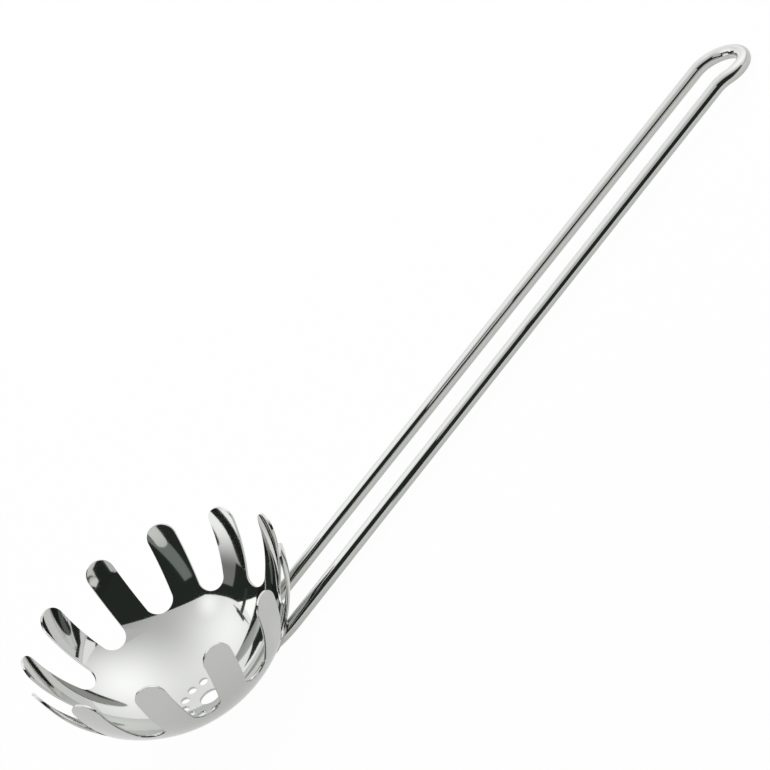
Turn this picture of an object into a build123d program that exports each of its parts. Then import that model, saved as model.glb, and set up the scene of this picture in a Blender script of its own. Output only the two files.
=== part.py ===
from build123d import *
from math import acos, asin, atan, atan2, cos, degrees, pi, radians, sin, sqrt, tan
import os

# Wire-handled pasta server in polished stainless steel. Sizes are in millimetres, angles in degrees.
# It lies on a table at z = 0, on the bowl and on the tip of its loop: +X runs along the handle
# to its loop, +Z is up, and the origin is under the middle of its length. The bowl leans towards
# the handle. Each piece is modelled about the bowl's centre with the legs level, then laid down.

# Bowl: one sheet pressed to part of a sphere, its rim cut into tines
bowl_inner_radius = 41.5
sheet_thickness = 0.8
bowl_tilt_angle = 22.9       # lean of the bowl's axis towards the handle
tip_angle = 83.0             # from the bowl's lowest point up its wall to the tips of the tines
slot_angle = 49.3            # the same, to the bottoms of the slots
tine_count = 12
tine_width = 9.0
tip_round_share = 0.97       # tip rounding, as a share of half the tine's width
slot_round_share = 0.97      # slot rounding, as a share of the largest that the slot's bottom can take

# Drain holes in the bottom of the bowl
centre_hole_diameter = 6.8
ring_hole_diameter = 2.8
ring_hole_count = 12
hole_ring_diameter = 16.3

# Handle: one bent wire, two legs and a loop
wire_diameter = 4.0
leg_rise = 2.5               # from the bowl's lowest point up to the middle of the legs
leg_spacing_at_bowl = 18.9
leg_spacing_at_loop = 16.1
leg_length = 210.0           # from below the bowl's centre to the bend before the loop
loop_bend_radius = 13.0
loop_bend_angle = 20.3       # turn of the legs down to the loop
root_bend_start = 19.0       # from below the bowl's centre to where the legs start to bend up to its wall
root_bend_radius = 50.0
weld_gap = 0.15              # between the wire's ends and the bowl's wall, closed by the welds

# Welds: one bead on the bowl's wall round the end of each leg
weld_reach = 0.4             # past the wire on all sides, measured along the wall
weld_height = 0.9
weld_clearance = 0.02        # between a bead and the wire it holds, because each is a piece of its own

# Cuts run past the faces that they open
overrun = 1.0

# Sizes that follow
bowl_outer_radius = bowl_inner_radius + sheet_thickness
half_pitch = pi / tine_count
tip_level = -bowl_inner_radius * cos(radians(tip_angle))
wire_radius = wire_diameter / 2
leg_offset = leg_spacing_at_bowl / 2
loop_offset = leg_spacing_at_loop / 2
leg_taper = atan((leg_offset - loop_offset) / leg_length)
leg_drop = bowl_outer_radius - leg_rise


def on_wall(angle, radius):
    """Point on a sphere about the bowl's centre, over azimuth zero, at an angle up from its lowest point."""
    return Vector(radius * sin(angle), 0, -radius * cos(angle))


def slot_half_width(x):
    """Half the gap between two tines at a distance from the bowl's axis, over the slot's middle."""
    return x * tan(half_pitch) - tine_width / 2 / cos(half_pitch)


def make_slot():
    """Space between two tines: its bottom corners rounded, its mouth flared to round the tines' tips."""
    wall_up = radians(slot_angle)
    bottom = on_wall(wall_up, bowl_inner_radius)
    near = bottom.X - sheet_thickness / 2
    far = bowl_outer_radius + overrun
    outline = Polyline(
        (near, -slot_half_width(near)),
        (near, slot_half_width(near)),
        (far, slot_half_width(far)),
        (far, -slot_half_width(far)),
        close=True,
    )
    mouth = Plane.XY.offset(tip_level)
    wedge = extrude(mouth * make_face(outline), amount=bowl_outer_radius, dir=(0, 0, -1))
    bottom_plane = Plane(origin=bottom, x_dir=(0, 1, 0), z_dir=(cos(wall_up), 0, sin(wall_up)))
    slot = split(wedge, bisect_by=bottom_plane, keep=Keep.TOP)
    corners = slot.faces().sort_by(Axis(bottom, bottom_plane.z_dir))[0].edges()
    corners = corners.filter_by(lambda edge: abs((edge % 0).Y) < abs((edge % 0).X))
    side_lean = asin(sin(half_pitch) * cos(wall_up))
    largest = slot_half_width(near) / tan(pi / 4 - side_lean / 2)
    slot = fillet(corners, slot_round_share * largest)
    span = 2 * far * sin(half_pitch) + tine_width
    slab = Box(far - near, span, overrun, align=(Align.CENTER, Align.CENTER, Align.MIN))
    slot += Pos((near + far) / 2, 0, tip_level) * slab
    lips = slot.edges().filter_by_position(Axis.Z, tip_level, tip_level)
    lips = lips.filter_by(Axis.X, reverse=True).filter_by(Axis.Y, reverse=True)
    return fillet(lips, tip_round_share * tine_width / 2)


def make_bowl():
    """Pressed bowl with its tines and drain holes, axis upright, centre at the origin."""
    shell = Sphere(bowl_outer_radius) - Sphere(bowl_inner_radius)
    shell = split(shell, bisect_by=Plane.XY.offset(tip_level + overrun / 2), keep=Keep.BOTTOM)
    slot = make_slot()
    for index in range(tine_count):
        shell -= Rot(0, 0, degrees(2 * half_pitch) * index) * slot
    depth = bowl_outer_radius + overrun
    shell -= Pos(0, 0, -depth / 2) * Cylinder(centre_hole_diameter / 2, depth)
    hole_angle = asin(hole_ring_diameter / 2 / bowl_inner_radius)
    drill = Pos(0, 0, -depth / 2) * Cylinder(ring_hole_diameter / 2, depth)
    for index in range(ring_hole_count):
        turn = 360 / ring_hole_count * index
        shell -= Rot(0, 0, turn) * Rot(0, -degrees(hole_angle), 0) * drill
    return shell


def leg_plane(side):
    """Upright plane of one leg: x runs along the leg from below the bowl's centre, y is up."""
    return Plane(
        origin=(0, side * leg_offset, -leg_drop),
        x_dir=(cos(leg_taper), -side * sin(leg_taper), 0),
        z_dir=(-side * sin(leg_taper), -cos(leg_taper), 0),
    )


# The bowl as each leg's plane cuts it, and the turns of the root's bend at which it is met
centre_x = leg_offset * sin(leg_taper)
plane_distance = leg_offset * cos(leg_taper)
wall_radius = sqrt(bowl_outer_radius**2 - plane_distance**2)
root_to_centre = Vector(centre_x - root_bend_start, leg_drop - root_bend_radius)


def turn_at_wall(radius):
    """Turn from the straight leg at which a line of the root's bend, with this radius, meets the bowl."""
    reach = root_to_centre.length
    between = acos((radius**2 + reach**2 - wall_radius**2) / (2 * radius * reach))
    return atan2(-root_to_centre.X, -root_to_centre.Y) - between


def on_root(turn, radius):
    """Point of a leg's plane on a line of the root's bend."""
    return (root_bend_start - radius * sin(turn), root_bend_radius - radius * cos(turn))


def on_loop_bend(turn):
    """Point of a leg's plane on its centre line where it bends down to the loop."""
    return (leg_length + loop_bend_radius * sin(turn), -loop_bend_radius * (1 - cos(turn)))


def leg_edges(side):
    """Centre line of one leg, from inside the bowl's wall to the loop."""
    plane = leg_plane(side)
    root_turn = turn_at_wall(root_bend_radius + wire_radius) + overrun / root_bend_radius
    root_arc = ThreePointArc(
        on_root(root_turn, root_bend_radius),
        on_root(root_turn / 2, root_bend_radius),
        on_root(0, root_bend_radius),
    )
    straight = Line((root_bend_start, 0), (leg_length, 0))
    loop_turn = radians(loop_bend_angle)
    loop_bend = ThreePointArc(on_loop_bend(0), on_loop_bend(loop_turn / 2), on_loop_bend(loop_turn))
    return [plane * edge for edge in (root_arc, straight, loop_bend)]


def loop_edge():
    """Half turn that joins the two legs."""
    end = leg_edges(1)[-1] @ 1
    heading = leg_edges(1)[-1] % 1
    forward = Vector(heading.X, 0, heading.Z)
    lean = atan(-heading.Y / forward.length)
    forward = forward.normalized()
    reach = end.Y * (tan(lean) + 1 / cos(lean))
    middle = Vector(end.X, 0, end.Z) + forward * reach
    return ThreePointArc(end, middle, Vector(end.X, -end.Y, end.Z))


def tube(line, radius):
    """Round bar along a line."""
    return sweep(Plane(origin=line @ 0, z_dir=line % 0) * Circle(radius), path=line)


def make_wire():
    """Handle wire: one round wire from the bowl's wall round the loop and back, cut to fit the wall."""
    path = Wire(leg_edges(1) + [loop_edge()] + leg_edges(-1))
    wire = tube(path, wire_radius)
    print("wire length", round(path.length, 1), "volume share",
          round(wire.volume / (path.length * pi * wire_radius**2), 4))
    return wire - Sphere(bowl_outer_radius + weld_gap)


def make_weld(side):
    """Bead on the bowl's wall, long and round-ended, round the end of one leg."""
    half_width = wire_radius + weld_reach
    bead_radius = (half_width**2 + weld_height**2) / (2 * weld_height)
    depth = bead_radius - weld_height
    centre = Vector(centre_x, leg_drop)
    far_end = Vector(*on_root(turn_at_wall(root_bend_radius + wire_radius), root_bend_radius + wire_radius))
    near_end = Vector(*on_root(turn_at_wall(root_bend_radius - wire_radius), root_bend_radius - wire_radius))
    middle = (far_end + near_end) / 2 - centre
    half_length = (near_end - far_end).length / 2 + weld_reach - half_width
    line_radius = sqrt((bowl_outer_radius - depth)**2 - plane_distance**2)
    middle_angle = atan2(middle.X, -middle.Y)
    half_angle = half_length / line_radius
    points = [
        (centre_x + line_radius * sin(angle), leg_drop - line_radius * cos(angle))
        for angle in (middle_angle - half_angle, middle_angle, middle_angle + half_angle)
    ]
    line = leg_plane(side) * ThreePointArc(*points)
    bead = tube(line, bead_radius)
    bead += Pos(line @ 0) * Sphere(bead_radius)
    bead += Pos(line @ 1) * Sphere(bead_radius)
    channel = tube(Wire(leg_edges(side)[:2]), wire_radius + weld_clearance)
    return bead - Sphere(bowl_outer_radius) - channel


parts = {
    "bowl": Rot(0, bowl_tilt_angle, 0) * make_bowl(),
    "handle_wire": make_wire(),
    "weld_right": make_weld(1),
    "weld_left": make_weld(-1),
}

# The legs rise a little towards the loop, so that the bowl and the loop's tip both touch the table
loop_middle = loop_edge() @ 0.5
loop_distance = sqrt(loop_middle.X**2 + loop_middle.Z**2)
rest_angle = -asin((bowl_outer_radius - wire_radius) / loop_distance) - atan2(loop_middle.Z, loop_middle.X)
laid = Rot(0, -degrees(rest_angle), 0)
whole = Compound(children=[Part() + laid * part for part in parts.values()]).bounding_box()

# The origin moves to the table, under the middle of the whole length
placed = Pos(-(whole.min.X + whole.max.X) / 2, 0, bowl_outer_radius) * laid
os.makedirs("parts", exist_ok=True)
for name, part in parts.items():
    export_step(placed * part, f"parts/{name}.step")
print("size", round(whole.size.X, 1), round(whole.size.Y, 1), round(whole.size.Z, 1),
      "lowest", round(whole.min.Z + bowl_outer_radius, 3), "rest angle", round(degrees(rest_angle), 3),
      "bowl's centre", round(-(whole.min.X + whole.max.X) / 2, 3))
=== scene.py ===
import math

import bpy
from mathutils import Matrix, Quaternion, Vector


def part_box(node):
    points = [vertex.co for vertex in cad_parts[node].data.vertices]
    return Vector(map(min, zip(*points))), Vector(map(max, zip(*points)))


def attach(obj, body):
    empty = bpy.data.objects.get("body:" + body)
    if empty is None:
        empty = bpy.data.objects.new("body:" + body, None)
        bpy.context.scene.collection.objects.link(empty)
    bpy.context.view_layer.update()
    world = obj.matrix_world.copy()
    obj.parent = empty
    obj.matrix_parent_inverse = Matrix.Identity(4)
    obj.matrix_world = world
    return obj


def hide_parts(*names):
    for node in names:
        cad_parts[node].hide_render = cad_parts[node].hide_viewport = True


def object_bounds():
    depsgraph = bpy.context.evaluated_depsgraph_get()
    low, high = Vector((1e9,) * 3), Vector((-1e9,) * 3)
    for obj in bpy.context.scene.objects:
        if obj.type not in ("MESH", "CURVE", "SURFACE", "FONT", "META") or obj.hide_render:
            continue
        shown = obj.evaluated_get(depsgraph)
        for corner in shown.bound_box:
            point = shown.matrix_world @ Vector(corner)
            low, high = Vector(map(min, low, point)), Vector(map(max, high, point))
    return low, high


# Wire-handled pasta server: a mirror-polished steel bowl with twelve tines, on a handle of bent wire.
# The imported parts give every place; the polished pieces are modelled here, in metres, in the same frame.
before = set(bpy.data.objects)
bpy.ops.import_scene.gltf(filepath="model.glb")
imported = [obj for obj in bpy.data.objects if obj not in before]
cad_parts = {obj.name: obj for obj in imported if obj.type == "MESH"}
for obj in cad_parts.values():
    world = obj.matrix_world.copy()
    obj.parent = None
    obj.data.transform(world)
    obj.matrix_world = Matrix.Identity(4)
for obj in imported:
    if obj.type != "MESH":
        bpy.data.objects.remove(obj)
cadLow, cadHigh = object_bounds()
mm = 0.001
print("frame loaded:", sorted(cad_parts))


# helpers
def linearColour(hexText):
    # sRGB hex to the linear values that shaders take
    channels = []
    for start in (0, 2, 4):
        value = int(hexText[start:start + 2], 16) / 255
        if value <= 0.04045:
            channels.append(value / 12.92)
        else:
            channels.append(((value + 0.055) / 1.055) ** 2.4)
    return (*channels, 1.0)


def addNode(tree, kind, settings=None, links=None):
    # a node of this kind, its settings by property or socket, its links by socket
    node = tree.nodes.new(kind)
    for key, value in (settings or {}).items():
        if hasattr(node, str(key)):
            setattr(node, key, value)
        else:
            node.inputs[key].default_value = value
    for key, source in (links or {}).items():
        tree.links.new(source, node.inputs[key])
    return node


def newMaterial(name):
    material = bpy.data.materials.new(name)
    material.use_nodes = True
    material.node_tree.nodes.clear()
    return material, material.node_tree


def dress(piece, material):
    piece.data.materials.clear()
    piece.data.materials.append(material)


def deselectAll():
    for piece in bpy.context.selected_objects:
        piece.select_set(False)


def selectOnly(piece):
    deselectAll()
    bpy.context.view_layer.objects.active = piece
    piece.select_set(True)


def editMode(piece):
    selectOnly(piece)
    bpy.ops.object.mode_set(mode="EDIT")


def objectMode():
    bpy.ops.object.mode_set(mode="OBJECT")


def applyModifier(piece, kind, settings):
    selectOnly(piece)
    modifier = piece.modifiers.new(kind.lower(), kind)
    for key, value in settings.items():
        setattr(modifier, key, value)
    bpy.ops.object.modifier_apply(modifier=modifier.name)


# camera: the photograph's viewing angle
cameraView = {
    "azimuth": 8.979,               # 0 looks along +Y
    "elevation": 25.457,
    "roll": -54.902,
    "distance": 861.9 * mm,
    "aimShift": Vector((-2.8, -1.65, -2.5)) * mm,   # from the middle of the object's box
    "fieldOfView": 14.309,
    "nearest": 50 * mm,
    "farthest": 50.0,
}


def makeCamera():
    azimuth = math.radians(cameraView["azimuth"])
    elevation = math.radians(cameraView["elevation"])
    back = Vector((
        math.sin(azimuth) * math.cos(elevation),
        -math.cos(azimuth) * math.cos(elevation),
        math.sin(elevation),
    ))
    aim = (cadLow + cadHigh) / 2 + cameraView["aimShift"]
    data = bpy.data.cameras.new("photographView")
    data.angle = math.radians(cameraView["fieldOfView"])
    data.clip_start = cameraView["nearest"]
    data.clip_end = cameraView["farthest"]
    camera = bpy.data.objects.new("photographView", data)
    bpy.context.scene.collection.objects.link(camera)
    camera.location = aim + back * cameraView["distance"]
    camera.rotation_mode = "QUATERNION"
    level = (-back).to_track_quat("-Z", "Y")
    camera.rotation_quaternion = level @ Quaternion((0, 0, 1), math.radians(cameraView["roll"]))
    bpy.context.scene.camera = camera


makeCamera()
print("camera set")


# sizes of the bowl, which the wire is laid and cut to as well
bowlShape = {
    "innerRadius": 41.5 * mm,
    "sheet": 0.8 * mm,
    "lean": 22.9,                   # of the bowl's axis towards the handle
    "tipAngle": 83.0,               # from the lowest point up the wall to the tips of the tines
    "slotAngle": 49.3,              # the same, to the bottoms of the slots
    "tines": 12,
    "tineWidth": 9.0 * mm,
    "tipRoundShare": 0.97,
    "slotRoundShare": 0.97,
    "centreHole": 6.8 * mm,
    "ringHole": 2.8 * mm,
    "holeRing": 16.3 * mm,
    "edgeRound": 0.16 * mm,
    "edgeSegments": 2,
    "edgeAngle": 40,                # edges that turn by more than this are rounded
    "columns": 8,                   # faces from the middle of a slot to the middle of a tine
    "rows": {"inner": 4, "hole": 16, "wall": 28, "slot": 12, "side": 14, "tip": 8},
    "holeSpread": 2.3 * mm,         # far ends of the rows round a ring hole, below and above its middle
    "slotSpread": 2.0 * mm,         # far end of the first row at a slot, below the slot's bottom
    "cornerSpread": 0.6 * mm,       # far end of the last row at a slot's corner, above the corner
    "mirrorGap": 0.001 * mm,        # points nearer than this are joined where the halves meet
    "mergeGap": 0.005 * mm,         # and where the copies meet
    "wallNear": 0.01 * mm,          # points this near to a wall's sphere lie on it
}
outerRadius = bowlShape["innerRadius"] + bowlShape["sheet"]

# handle wire
wireShape = {
    "radius": 2.0 * mm,
    "legRise": 2.5 * mm,            # from the bowl's lowest point up to the middle of the legs
    "spacingAtBowl": 18.9 * mm,
    "spacingAtLoop": 16.1 * mm,
    "legLength": 210.0 * mm,        # from below the bowl's centre to the bend before the loop
    "loopBendRadius": 13.0 * mm,
    "loopBendAngle": 20.3,
    "rootStart": 19.0 * mm,         # from below the bowl's centre to where the legs bend up to its wall
    "rootBendRadius": 50.0 * mm,
    "rootTurn": 14.0,               # carries the wire on into the wall, where it is cut to fit
    "weldGap": 0.15 * mm,
    "sides": 40,
    "turnSteps": 36,                # of half the loop's turn
    "bendSteps": 12,
    "rootSteps": 16,
    "mirrorGap": 0.01 * mm,         # points nearer than this are joined where the halves meet
    "cutterSides": 192,             # of the ball that cuts the wire's ends
    "smoothAngle": 25,              # edges that turn by more than this stay sharp
}


def legTaper():
    return math.atan((wireShape["spacingAtBowl"] - wireShape["spacingAtLoop"]) / 2 / wireShape["legLength"])


def handleLine():
    # centres, axes and angles of the wire's arcs, for the leg at +Y, legs level, bowl's centre at the origin
    taper = legTaper()
    bendRadius = wireShape["loopBendRadius"]
    bendAngle = math.radians(wireShape["loopBendAngle"])
    along = Vector((math.cos(taper), -math.sin(taper), 0))
    across = Vector((-math.sin(taper), -math.cos(taper), 0))
    up = Vector((0, 0, 1))
    start = Vector((0, wireShape["spacingAtBowl"] / 2, wireShape["legRise"] - outerRadius))
    bendCentre = start + along * wireShape["legLength"] - up * bendRadius
    bendEnd = bendCentre + (along * math.sin(bendAngle) + up * math.cos(bendAngle)) * bendRadius
    heading = along * math.cos(bendAngle) - up * math.sin(bendAngle)
    forward = Vector((heading.x, 0, heading.z))
    lean = math.atan(-heading.y / forward.length)
    forward.normalize()
    turnCentre = Vector((bendEnd.x, 0, bendEnd.z)) + forward * bendEnd.y * math.tan(lean)
    return {
        "along": along,
        "across": across,
        "turnCentre": turnCentre,
        "turnStart": turnCentre + forward * bendEnd.y / math.cos(lean),
        "turnAxis": forward.cross(Vector((0, 1, 0))),
        "turnAngle": math.pi / 2 + lean,
        "bendCentre": bendCentre,
        "bendAngle": bendAngle,
        "straight": wireShape["legLength"] - wireShape["rootStart"],
        "rootCentre": start + along * wireShape["rootStart"] + up * wireShape["rootBendRadius"],
        "rootAngle": math.radians(wireShape["rootTurn"]),
    }


def restAngle():
    # the bowl's bottom and the loop's tip both lie on the table
    tip = handleLine()["turnStart"]
    drop = math.asin((outerRadius - wireShape["radius"]) / math.hypot(tip.x, tip.z))
    return -drop - math.atan2(tip.z, tip.x)


def cutToWall(wire):
    # the wire's ends stop a hair short of the bowl's wall, inside their weld beads
    deselectAll()
    bpy.ops.mesh.primitive_uv_sphere_add(
        segments=wireShape["cutterSides"],
        ring_count=wireShape["cutterSides"] // 2,
        radius=outerRadius + wireShape["weldGap"],
        location=(0, 0, 0),
    )
    ball = bpy.context.object
    applyModifier(wire, "BOOLEAN", {"object": ball, "operation": "DIFFERENCE", "solver": "EXACT"})
    bpy.data.objects.remove(ball)


def makeHandleWire():
    line = handleLine()
    deselectAll()
    bpy.ops.mesh.primitive_circle_add(
        vertices=wireShape["sides"],
        radius=wireShape["radius"],
        fill_type="NOTHING",
        location=line["turnStart"],
        rotation=(math.pi / 2, 0, 0),
    )
    wire = bpy.context.object
    wire.name = "handleWire"
    bpy.ops.object.transform_apply(location=True, rotation=True, scale=True)
    editMode(wire)
    bpy.ops.mesh.select_all(action="SELECT")

    def bend(centre, axis, angle, steps):
        # the spin turns clockwise about its axis
        bpy.ops.mesh.spin(steps=steps, angle=-angle, center=centre, axis=axis)

    def run(vector):
        bpy.ops.mesh.extrude_region_move(TRANSFORM_OT_translate={"value": vector})

    # a short ring next to each bend keeps the straight leg's reflections straight
    ringStep = wireShape["radius"] / 2
    bend(line["turnCentre"], line["turnAxis"], line["turnAngle"], wireShape["turnSteps"])
    bend(line["bendCentre"], line["across"], line["bendAngle"], wireShape["bendSteps"])
    run(-line["along"] * ringStep)
    run(-line["along"] * (line["straight"] - 2 * ringStep))
    run(-line["along"] * ringStep)
    bend(line["rootCentre"], line["across"], -line["rootAngle"], wireShape["rootSteps"])
    bpy.ops.mesh.edge_face_add()
    objectMode()
    applyModifier(wire, "MIRROR", {
        "use_axis": (False, True, False),
        "merge_threshold": wireShape["mirrorGap"],
    })
    editMode(wire)
    bpy.ops.mesh.select_all(action="SELECT")
    bpy.ops.mesh.normals_make_consistent(inside=False)
    objectMode()
    cutToWall(wire)
    selectOnly(wire)
    bpy.ops.object.shade_smooth_by_angle(angle=math.radians(wireShape["smoothAngle"]))
    return wire


def highestX(piece):
    return max(vertex.co.x for vertex in piece.data.vertices)


handleWire = makeHandleWire()
laid = Matrix.Rotation(-restAngle(), 4, "Y")
handleWire.data.transform(laid)
bowlCentre = Vector((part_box("handle_wire")[1].x - highestX(handleWire), 0, outerRadius))
handleWire.data.transform(Matrix.Translation(bowlCentre))
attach(handleWire, "root")
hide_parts("handle_wire")
print("handle wire made, bowl centre", [round(value / mm, 3) for value in bowlCentre])


# bowl
def bowlRows():
    # rows of points on the pressed sheet, from its centre hole to the tip of a tine
    # each row runs from the middle or the side of a slot to the middle of the tine beside it
    shape = bowlShape
    middle = shape["innerRadius"] + shape["sheet"] / 2
    halfPitch = math.pi / shape["tines"]
    halfTine = shape["tineWidth"] / 2
    slotUp = math.radians(shape["slotAngle"])
    holeUp = math.asin(shape["holeRing"] / 2 / shape["innerRadius"])
    holeTurn = math.asin(shape["ringHole"] / 2 / middle)
    centreUp = math.asin(shape["centreHole"] / 2 / middle)
    counts = shape["rows"]

    def onWall(angle, turn=0.0):
        flat = Vector((math.sin(angle), 0, -math.cos(angle))) * middle
        return Matrix.Rotation(turn, 3, "Z") @ flat

    def atSlot(angle, aside):
        reach = math.sqrt(middle ** 2 - aside ** 2)
        return Vector((reach * math.sin(angle), aside, -reach * math.cos(angle)))

    def atTine(level, aside):
        reach = math.sqrt(middle ** 2 - aside ** 2 - level ** 2)
        return Matrix.Rotation(halfPitch, 3, "Z") @ Vector((reach, -aside, level))

    def straightRow(first, last):
        return [first.lerp(last, share / shape["columns"]).normalized() * middle
                for share in range(shape["columns"] + 1)]

    rows = []
    # from the centre hole to the ring hole
    holeSpread = shape["holeSpread"] / middle
    for step in range(counts["inner"]):
        share = step / counts["inner"]
        near = centreUp + (holeUp - holeTurn - centreUp) * share
        far = centreUp + (holeUp - holeSpread - centreUp) * share
        rows.append(straightRow(onWall(near), onWall(far, halfPitch)))
    # round the ring hole
    holeMiddle = onWall(holeUp).normalized()
    upWall = Vector((math.cos(holeUp), 0, math.sin(holeUp)))
    for step in range(counts["hole"]):
        share = step / counts["hole"]
        turn = math.pi * share
        side = Vector((0, 1, 0)) * math.sin(turn) - upWall * math.cos(turn)
        edge = (holeMiddle * math.cos(holeTurn) + side * math.sin(holeTurn)) * middle
        far = holeUp + holeSpread * (2 * share - 1)
        rows.append(straightRow(edge, onWall(far, halfPitch)))
    # up the wall to the slot
    slotSpread = shape["slotSpread"] / middle
    for step in range(counts["wall"]):
        share = step / counts["wall"]
        near = holeUp + holeTurn + (slotUp - holeUp - holeTurn) * share
        far = holeUp + holeSpread + (slotUp - slotSpread - holeUp - holeSpread) * share
        rows.append(straightRow(onWall(near), onWall(far, halfPitch)))
    # round the slot's corner
    nearX = shape["innerRadius"] * math.sin(slotUp) - shape["sheet"] / 2
    halfSlot = nearX * math.tan(halfPitch) - halfTine / math.cos(halfPitch)
    sideLean = math.asin(math.sin(halfPitch) * math.cos(slotUp))
    cornerRadius = shape["slotRoundShare"] * halfSlot / math.tan(math.pi / 4 - sideLean / 2)
    halfBottom = middle * math.sin(slotUp) * math.tan(halfPitch) - halfTine / math.cos(halfPitch)
    cornerMiddle = halfBottom + cornerRadius * math.tan(sideLean) - cornerRadius / math.cos(sideLean)
    cornerTurn = math.pi / 2 - sideLean
    cornerTop = slotUp + cornerRadius * (1 - math.cos(cornerTurn)) / middle
    cornerFar = cornerTop + shape["cornerSpread"] / middle
    for step in range(counts["slot"]):
        share = step / counts["slot"]
        turn = cornerTurn * share
        rise = cornerRadius * (1 - math.cos(turn)) / middle
        aside = cornerMiddle * share + cornerRadius * math.sin(turn)
        far = slotUp - slotSpread + (cornerFar - slotUp + slotSpread) * share
        rows.append(straightRow(atSlot(slotUp + rise, aside), onWall(far, halfPitch)))
    # along the tine's straight side
    tipLevel = -shape["innerRadius"] * math.cos(math.radians(shape["tipAngle"]))
    tipRadius = shape["tipRoundShare"] * halfTine
    tipStart = tipLevel - tipRadius
    reach = math.sqrt(middle ** 2 - halfTine ** 2)
    sideStart = -reach * math.cos(cornerTop)
    farStart = -middle * math.cos(cornerFar)
    for step in range(counts["side"]):
        share = step / counts["side"]
        near = sideStart + (tipStart - sideStart) * share
        far = farStart + (tipStart - farStart) * share
        rows.append(straightRow(atTine(near, halfTine), atTine(far, 0)))
    # the round tip, from a square of faces pressed to a quarter of a disc
    for step in range(counts["tip"] + 1):
        height = step / counts["tip"]
        row = []
        for column in range(shape["columns"] + 1):
            side = 1 - column / shape["columns"]
            if height <= side:
                share = side
                turn = math.pi / 4 * height / side if side else 0.0
            else:
                share = height
                turn = math.pi / 2 - math.pi / 4 * side / height
            aside = halfTine * share * math.cos(turn)
            row.append(atTine(tipStart + tipRadius * share * math.sin(turn), aside))
        rows.append(row)
    return rows


def makeBowl():
    shape = bowlShape
    middle = shape["innerRadius"] + shape["sheet"] / 2
    rows = bowlRows()
    deselectAll()
    bpy.ops.mesh.primitive_grid_add(
        x_subdivisions=shape["columns"],
        y_subdivisions=len(rows) - 1,
        size=1,
    )
    bowl = bpy.context.object
    bowl.name = "pressedBowl"
    for vertex in bowl.data.vertices:
        column = round((vertex.co.x + 0.5) * shape["columns"])
        row = round((vertex.co.y + 0.5) * (len(rows) - 1))
        vertex.co = rows[row][column]
    applyModifier(bowl, "MIRROR", {
        "use_axis": (False, True, False),
        "merge_threshold": shape["mirrorGap"],
    })
    editMode(bowl)
    bpy.ops.mesh.select_all(action="SELECT")
    pitch = 2 * math.pi / shape["tines"]
    bpy.ops.mesh.spin(
        steps=shape["tines"] - 1,
        dupli=True,
        angle=pitch * (shape["tines"] - 1),
        center=(0, 0, 0),
        axis=(0, 0, 1),
    )
    bpy.ops.mesh.select_all(action="SELECT")
    bpy.ops.mesh.remove_doubles(threshold=shape["mergeGap"])
    bpy.ops.transform.resize(value=[shape["innerRadius"] / middle] * 3, center_override=(0, 0, 0))
    bpy.ops.mesh.extrude_region_move()
    bpy.ops.transform.resize(value=[outerRadius / shape["innerRadius"]] * 3, center_override=(0, 0, 0))
    bpy.ops.mesh.select_all(action="SELECT")
    bpy.ops.mesh.normals_make_consistent(inside=False)
    bpy.ops.mesh.faces_shade_smooth()
    objectMode()
    applyModifier(bowl, "BEVEL", {
        "width": shape["edgeRound"],
        "segments": shape["edgeSegments"],
        "limit_method": "ANGLE",
        "angle_limit": math.radians(shape["edgeAngle"]),
    })
    roundNormals(bowl)
    lean = Matrix.Rotation(math.radians(shape["lean"]), 4, "Y")
    bowl.data.transform(Matrix.Translation(bowlCentre) @ laid @ lean)
    return bowl


def roundNormals(bowl):
    # the polished walls reflect as true spheres, and the rounded edges keep their own normals
    near = bowlShape["wallNear"]
    normals = []
    for vertex in bowl.data.vertices:
        reach = vertex.co.length
        if abs(reach - outerRadius) < near:
            normals.append(vertex.co.normalized())
        elif abs(reach - bowlShape["innerRadius"]) < near:
            normals.append(-vertex.co.normalized())
        else:
            normals.append(vertex.normal.copy())
    bowl.data.normals_split_custom_set_from_vertices(normals)


pressedBowl = makeBowl()
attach(pressedBowl, "root")
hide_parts("bowl")
print("bowl made,", len(pressedBowl.data.polygons), "faces")


# materials
steelShade = {
    "colour": "C6C7C3",
    "roughnessLow": 0.03,
    "roughnessHigh": 0.07,
    "hazeSize": 12 * mm,            # from one faint haze of the buffing to the next
    "hazeDetail": 2.0,
    "hazeLow": 0.3,
    "hazeHigh": 0.7,
}

weldShade = {
    "colour": "B4B4B0",
    "roughness": 0.25,
    "grainSize": 0.8 * mm,
    "grainDetail": 4.0,
    "grainDepth": 0.1 * mm,
    "grainStrength": 0.5,
}


def polishedSteel(name):
    # austenitic stainless steel, buffed to a mirror: clear reflections, faintly softened by the buffing
    material, tree = newMaterial(name)
    place = addNode(tree, "ShaderNodeTexCoord")
    haze = addNode(tree, "ShaderNodeTexNoise",
                   {"Scale": 1 / steelShade["hazeSize"], "Detail": steelShade["hazeDetail"]},
                   {"Vector": place.outputs["Object"]})
    gloss = addNode(tree, "ShaderNodeMapRange",
                    {"From Min": steelShade["hazeLow"], "From Max": steelShade["hazeHigh"],
                     "To Min": steelShade["roughnessLow"], "To Max": steelShade["roughnessHigh"]},
                    {"Value": haze.outputs["Fac"]})
    steel = addNode(tree, "ShaderNodeBsdfPrincipled",
                    {"Base Color": linearColour(steelShade["colour"]), "Metallic": 1.0},
                    {"Roughness": gloss.outputs["Result"]})
    addNode(tree, "ShaderNodeOutputMaterial", None, {"Surface": steel.outputs["BSDF"]})
    return material


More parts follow.
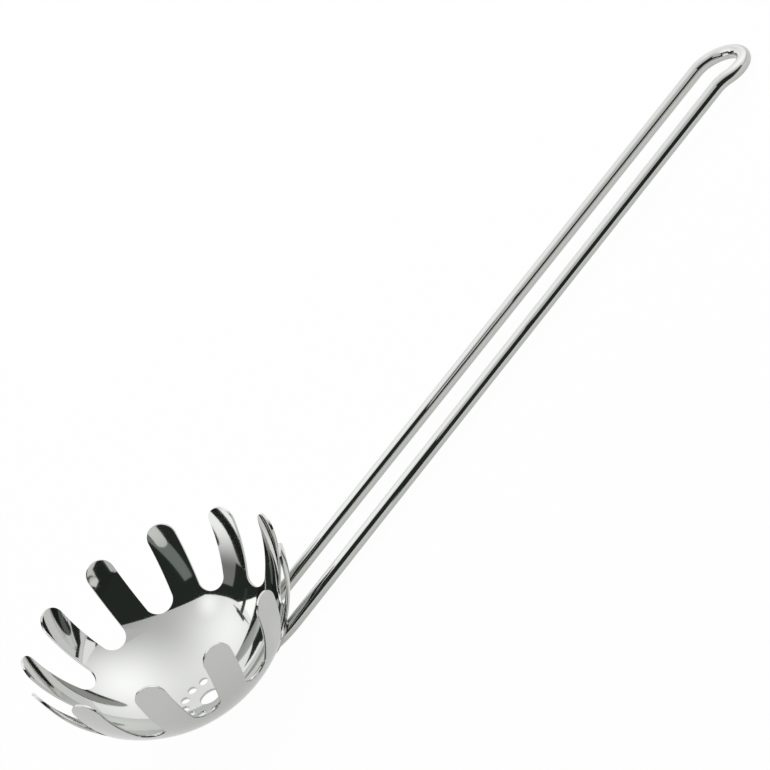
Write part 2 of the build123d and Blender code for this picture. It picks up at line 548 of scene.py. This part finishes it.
def weldedSteel():
    # stainless weld metal, brushed clean: a fine grain, duller than the polish
    material, tree = newMaterial("weldedSteel")
    place = addNode(tree, "ShaderNodeTexCoord")
    grain = addNode(tree, "ShaderNodeTexNoise",
                    {"Scale": 1 / weldShade["grainSize"], "Detail": weldShade["grainDetail"]},
                    {"Vector": place.outputs["Object"]})
    bump = addNode(tree, "ShaderNodeBump",
                   {"Strength": weldShade["grainStrength"], "Distance": weldShade["grainDepth"]},
                   {"Height": grain.outputs["Fac"]})
    steel = addNode(tree, "ShaderNodeBsdfPrincipled",
                    {"Base Color": linearColour(weldShade["colour"]), "Metallic": 1.0,
                     "Roughness": weldShade["roughness"]},
                    {"Normal": bump.outputs["Normal"]})
    addNode(tree, "ShaderNodeOutputMaterial", None, {"Surface": steel.outputs["BSDF"]})
    return material


dress(pressedBowl, polishedSteel("mirrorSheetSteel"))
dress(handleWire, polishedSteel("mirrorWireSteel"))
weldMaterial = weldedSteel()
for name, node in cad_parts.items():
    if name.startswith("weld"):
        dress(node, weldMaterial)
print("materials made")


# studio: white paper, a tent of white cloth over the far side and the handle's end, cards and black cloths
# round the object, and a dark room round it all
studio = {
    "floorSize": 8.0,
    "floorColour": "F4F4F4",
    "cameraPaperShare": 0.97,       # of the floor's white that needs no light
    "metalPaperShare": 0.62,        # the same, in what the metal mirrors
    "roomRadius": 3.9,
    "roomSides": 64,
    "tentRadius": 1.0,              # round the middle of the bowl
    "tentSides": 128,
    "tentStrength": 0.80,
    "tentColour": "FCFCFF",
    "cardDistance": 1.2,            # from the bowl to the upright cards
}


def directionOf(azimuth, elevation):
    # azimuth turns from +X towards +Y
    turn = math.radians(azimuth)
    rise = math.radians(elevation)
    return Vector((math.cos(rise) * math.cos(turn), math.cos(rise) * math.sin(turn), math.sin(rise)))


def whitePaper():
    # matt white paper; the camera and the metal see it white, and the object's shadow stays on it
    material, tree = newMaterial("whitePaper")
    path = addNode(tree, "ShaderNodeLightPath")
    forCamera = addNode(tree, "ShaderNodeMath", {"operation": "MULTIPLY", 1: studio["cameraPaperShare"]},
                        {0: path.outputs["Is Camera Ray"]})
    forMetal = addNode(tree, "ShaderNodeMath", {"operation": "MULTIPLY", 1: studio["metalPaperShare"]},
                       {0: path.outputs["Is Glossy Ray"]})
    share = addNode(tree, "ShaderNodeMath", {"operation": "MAXIMUM"},
                    {0: forCamera.outputs[0], 1: forMetal.outputs[0]})
    paper = addNode(tree, "ShaderNodeBsdfDiffuse", {"Color": linearColour(studio["floorColour"])})
    glow = addNode(tree, "ShaderNodeEmission", {"Color": (1, 1, 1, 1), "Strength": 1.0})
    mix = addNode(tree, "ShaderNodeMixShader", None,
                  {0: share.outputs[0], 1: paper.outputs[0], 2: glow.outputs[0]})
    addNode(tree, "ShaderNodeOutputMaterial", None, {"Surface": mix.outputs[0]})
    return material


# the lamps behind the tent's cloth, and the camera's side, where less light comes through
tentPatches = (
    {"azimuth": 14.0, "elevation": 24.0, "reach": 0.99, "gain": 0.91},
    {"azimuth": 134.0, "elevation": 70.5, "reach": 0.99, "gain": 0.79},
    {"azimuth": 86.0, "elevation": 4.0, "reach": 1.32, "gain": 0.55},
    {"azimuth": -136.0, "elevation": 68.0, "reach": 0.26, "gain": 0.41},
    {"azimuth": -39.0, "elevation": -13.0, "reach": 1.25, "gain": -0.49},
)


def tentCloth():
    # white cloth lit from behind, brighter where its lamps stand
    material, tree = newMaterial("tentCloth")
    place = addNode(tree, "ShaderNodeTexCoord")
    total = addNode(tree, "ShaderNodeValue")
    total.outputs[0].default_value = studio["tentStrength"]
    for patch in tentPatches:
        middle = directionOf(patch["azimuth"], patch["elevation"]) * studio["tentRadius"]
        away = addNode(tree, "ShaderNodeVectorMath", {"operation": "DISTANCE", 1: middle},
                       {0: place.outputs["Object"]})
        soft = addNode(tree, "ShaderNodeMapRange",
                       {"interpolation_type": "SMOOTHSTEP", "From Min": 0.0, "From Max": patch["reach"],
                        "To Min": patch["gain"], "To Max": 0.0},
                       {"Value": away.outputs["Value"]})
        total = addNode(tree, "ShaderNodeMath", {"operation": "ADD"},
                        {0: total.outputs[0], 1: soft.outputs["Result"]})
    glow = addNode(tree, "ShaderNodeEmission", {"Color": linearColour(studio["tentColour"])},
                   {"Strength": total.outputs[0]})
    addNode(tree, "ShaderNodeOutputMaterial", None, {"Surface": glow.outputs[0]})
    return material


# the screens' cloth is lit from below, and its light fades between these heights above the floor
screenShade = {
    "colour": "FCFCFF",
    "footStrength": 1.5,
    "topStrength": 0.28,
    "fadeStart": 350 * mm,
    "fadeEnd": 1200 * mm,
}


def screenCloth():
    # white screen lit from below: bright at its foot, dimmer towards its top
    material, tree = newMaterial("screenCloth")
    place = addNode(tree, "ShaderNodeTexCoord")
    axes = addNode(tree, "ShaderNodeSeparateXYZ", None, {"Vector": place.outputs["Object"]})
    fade = addNode(tree, "ShaderNodeMapRange",
                   {"interpolation_type": "SMOOTHSTEP",
                    "From Min": screenShade["fadeStart"], "From Max": screenShade["fadeEnd"],
                    "To Min": screenShade["footStrength"], "To Max": screenShade["topStrength"]},
                   {"Value": axes.outputs["Y"]})
    glow = addNode(tree, "ShaderNodeEmission", {"Color": linearColour(screenShade["colour"])},
                   {"Strength": fade.outputs["Result"]})
    addNode(tree, "ShaderNodeOutputMaterial", None, {"Surface": glow.outputs[0]})
    return material


# cloths, papers and paint that are one shade all over
plainShades = {
    "greyCloth": {"strength": 0.30, "colour": "E4F0EC"},
    "wallPaper": {"strength": 1.05, "colour": "FFFFFF"},
    "rightPaper": {"strength": 1.25, "colour": "FFFFFF"},
    "backPaper": {"strength": 1.3, "colour": "FFFFFF"},
    "blackCloth": {"strength": 0.035, "colour": "D8ECE2"},
    "stripCloth": {"strength": 0.75, "colour": "FFFFFF"},
    "highCard": {"strength": 1.72, "colour": "FFFFFF"},
    "standPaint": {"strength": 0.07, "colour": "D8ECE2"},
    "darkCloth": {"strength": 0.04, "colour": "D8ECE2"},
}


def plainGlow(name, shade):
    # cloth, paper or paint that is evenly lit
    material, tree = newMaterial(name)
    glow = addNode(tree, "ShaderNodeEmission",
                   {"Color": linearColour(shade["colour"]), "Strength": shade["strength"]})
    addNode(tree, "ShaderNodeOutputMaterial", None, {"Surface": glow.outputs[0]})
    return material


def stagePiece(name, material):
    # names and dresses the piece just added, which the camera doesn't see
    piece = bpy.context.object
    piece.name = name
    dress(piece, material)
    piece.visible_camera = False
    return piece


# upright cards on the floor, in degrees as seen from the floor under the middle of the bowl
standingCards = (
    {"name": "backScreen", "azimuth": -166.0, "halfAngle": 15.5, "top": 56.0, "shade": "screenCloth"},
    {"name": "sideScreen", "azimuth": 173.0, "halfAngle": 6.5, "top": 40.0, "shade": "screenCloth"},
    {"name": "greyStrip", "azimuth": -117.0, "halfAngle": 5.5, "top": 47.0, "shade": "greyCloth"},
    {"name": "lowWall", "azimuth": 132.0, "halfAngle": 38.0, "top": 6.0, "shade": "wallPaper"},
    {"name": "rightWall", "azimuth": 25.0, "halfAngle": 42.0, "top": 10.0, "shade": "rightPaper"},
    {"name": "backWall", "azimuth": 88.0, "halfAngle": 25.0, "top": 31.0, "shade": "backPaper"},
)


def standCard(card, material):
    # upright card on the floor that faces the bowl; its local Y runs up from the floor
    distance = studio["cardDistance"]
    towards = directionOf(card["azimuth"], 0)
    side = towards.cross(Vector((0, 0, 1)))
    width = 2 * distance * math.tan(math.radians(card["halfAngle"]))
    height = distance * math.tan(math.radians(card["top"]))
    foot = Vector((bowlCentre.x, bowlCentre.y, 0)) + towards * distance
    deselectAll()
    bpy.ops.mesh.primitive_plane_add(size=1, location=(0, 0, 0))
    piece = stagePiece(card["name"], material)
    piece.data.transform(Matrix.Translation((0, 0.5, 0)))
    piece.data.transform(Matrix.Diagonal((width, height, 1, 1)))
    piece.matrix_world = Matrix.Translation(foot) @ Matrix((
        (side.x, 0, -towards.x, 0),
        (side.y, 0, -towards.y, 0),
        (side.z, 1, -towards.z, 0),
        (0, 0, 0, 1),
    ))


# black cloths that lie on the paper, and light strips that hang before the handle and its root
# near and far are opposite edges, each as its left and right corner in millimetres
# the front cloth runs on past the wall of the room
flatCloths = (
    {"name": "frontCloth", "shade": "blackCloth",
     "near": ((-120, -8000, 0.5), (8000, -3456, 0.5)), "far": ((-120, -72, 0.5), (125, -72, 0.5))},
    {"name": "handleCloth", "shade": "blackCloth",
     "near": ((-30, -72, 0.5), (320, -72, 0.5)), "far": ((-30, -22, 0.5), (320, -22, 0.5))},
    {"name": "loopCloth", "shade": "blackCloth",
     "near": ((170, -22, 0.5), (320, -22, 0.5)), "far": ((170, 30, 0.5), (320, 30, 0.5))},
    {"name": "handleStrip", "shade": "stripCloth",
     "near": ((32, -70, 52), (125, -70, 52)), "far": ((4, -70, 150), (125, -70, 150))},
    {"name": "rootStrip", "shade": "stripCloth",
     "near": ((-12, -40, 31), (30, -40, 31)), "far": ((-12, -40, 62), (30, -40, 62))},
)


def fourCorners(name, near, far, material):
    # flat four-cornered cloth, strip or card that only the metal sees, from its near to its far edge
    deselectAll()
    bpy.ops.mesh.primitive_plane_add(size=1, location=(0, 0, 0))
    piece = stagePiece(name, material)
    for vertex in piece.data.vertices:
        left, right = near if vertex.co.y < 0 else far
        vertex.co = left if vertex.co.x < 0 else right
    piece.visible_diffuse = False
    piece.visible_shadow = False


def inMetres(corners):
    return [Vector(corner) * mm for corner in corners]


# a bright card just outside the tent's edge, and the dark stand that carries it, just inside
# corners as azimuth and elevation from the middle of the bowl, at a share of the tent's distance
tentCards = (
    {"name": "highCard", "shade": "highCard", "distanceShare": 1.04,
     "near": ((142, 39.5), (126, 42)), "far": ((160, 59), (126, 60))},
    {"name": "standArm", "shade": "standPaint", "distanceShare": 0.96,
     "near": ((165, 62.3), (141.5, 56.2)), "far": ((145, 59.6), (125.6, 47.2))},
    {"name": "standClamp", "shade": "standPaint", "distanceShare": 0.96,
     "near": ((153.1, 59.7), (134.6, 53.4)), "far": ((150.9, 61.5), (132.4, 55.2))},
    {"name": "standPost", "shade": "standPaint", "distanceShare": 0.96,
     "near": ((159, 47.4), (155.2, 45)), "far": ((146.4, 57.8), (141, 56))},
)


def onTent(corners, distanceShare):
    # points that lie in these directions from the middle of the bowl
    distance = studio["tentRadius"] * distanceShare
    return [bowlCentre + directionOf(azimuth, elevation) * distance for azimuth, elevation in corners]


# the tent is the part of a sphere that lies within both of these cones, azimuth from +X towards +Y
tentCones = (
    {"azimuth": 25.6, "elevation": 57.0, "halfAngle": 59.0},
    {"azimuth": 57.4, "elevation": 34.2, "halfAngle": 82.7},
)


def makeTent():
    radius = studio["tentRadius"]
    deselectAll()
    bpy.ops.mesh.primitive_uv_sphere_add(
        segments=studio["tentSides"],
        ring_count=studio["tentSides"] // 2,
        radius=radius,
        location=bowlCentre,
    )
    tent = stagePiece("lightTent", tentCloth())
    editMode(tent)
    for cone in tentCones:
        towards = directionOf(cone["azimuth"], cone["elevation"])
        bpy.ops.mesh.select_all(action="SELECT")
        bpy.ops.mesh.bisect(
            plane_co=bowlCentre + towards * radius * math.cos(math.radians(cone["halfAngle"])),
            plane_no=towards,
            clear_inner=True,
        )
    objectMode()


def makeStudio():
    deselectAll()
    bpy.ops.mesh.primitive_plane_add(size=studio["floorSize"], location=(0, 0, 0))
    floor = bpy.context.object
    floor.name = "paperFloor"
    dress(floor, whitePaper())
    makeTent()
    materials = {name: plainGlow(name, shade) for name, shade in plainShades.items()}
    materials["screenCloth"] = screenCloth()
    for card in standingCards:
        standCard(card, materials[card["shade"]])
    for cloth in flatCloths:
        fourCorners(cloth["name"], inMetres(cloth["near"]), inMetres(cloth["far"]), materials[cloth["shade"]])
    for card in tentCards:
        near = onTent(card["near"], card["distanceShare"])
        far = onTent(card["far"], card["distanceShare"])
        fourCorners(card["name"], near, far, materials[card["shade"]])
    deselectAll()
    bpy.ops.mesh.primitive_uv_sphere_add(
        segments=studio["roomSides"],
        ring_count=studio["roomSides"] // 2,
        radius=studio["roomRadius"],
        location=(0, 0, 0),
    )
    stagePiece("darkRoom", materials["darkCloth"])
    world = bpy.data.worlds.new("whiteWorld")
    world.use_nodes = True
    world.node_tree.nodes["Background"].inputs["Color"].default_value = (1, 1, 1, 1)
    world.node_tree.nodes["Background"].inputs["Strength"].default_value = 1.0
    bpy.context.scene.world = world


makeStudio()
bpy.context.scene.view_settings.view_transform = "Standard"
print("studio made")
